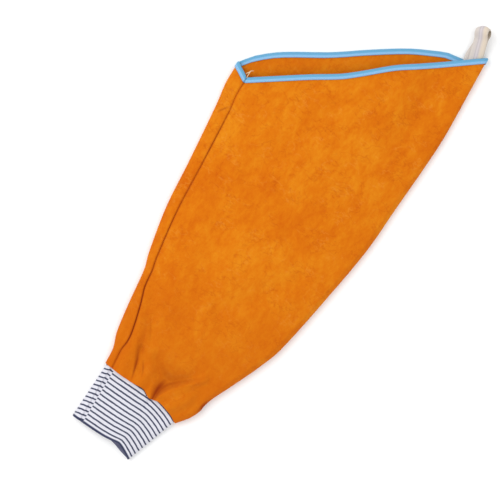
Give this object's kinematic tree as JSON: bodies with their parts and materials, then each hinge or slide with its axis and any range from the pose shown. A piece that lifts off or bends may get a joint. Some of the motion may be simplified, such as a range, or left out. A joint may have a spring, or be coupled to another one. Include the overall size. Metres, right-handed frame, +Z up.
{
  "type": "welding sleeve",
  "caption": "Suede leather arm sleeve with a slanted tape-bound shoulder opening, a hanging loop at its tip and a striped knit cuff, lying flat.",
  "frame": {"origin": "bottom centre of the box round the whole sleeve, lying flat", "axes": "+Y up the sleeve from the cuff towards the shoulder opening, +Z up from the table, +X across the sleeve from its inner fold to its outer fold"},
  "size_m": [0.248, 0.6466, 0.0242],
  "materials": {
    "suede": "orange split suede, matt, slightly mottled",
    "binding_tape": "blue woven tape, matt",
    "loop_tape": "cream cotton tape, matt",
    "knit": "white rib knit with thin navy stripes, matt"
  },
  "bodies": {
    "root": {"sleeve_panel": "suede", "rim_binding": "binding_tape", "hanging_loop": "loop_tape", "knit_cuff": "knit"}
  },
  "joints": []
}
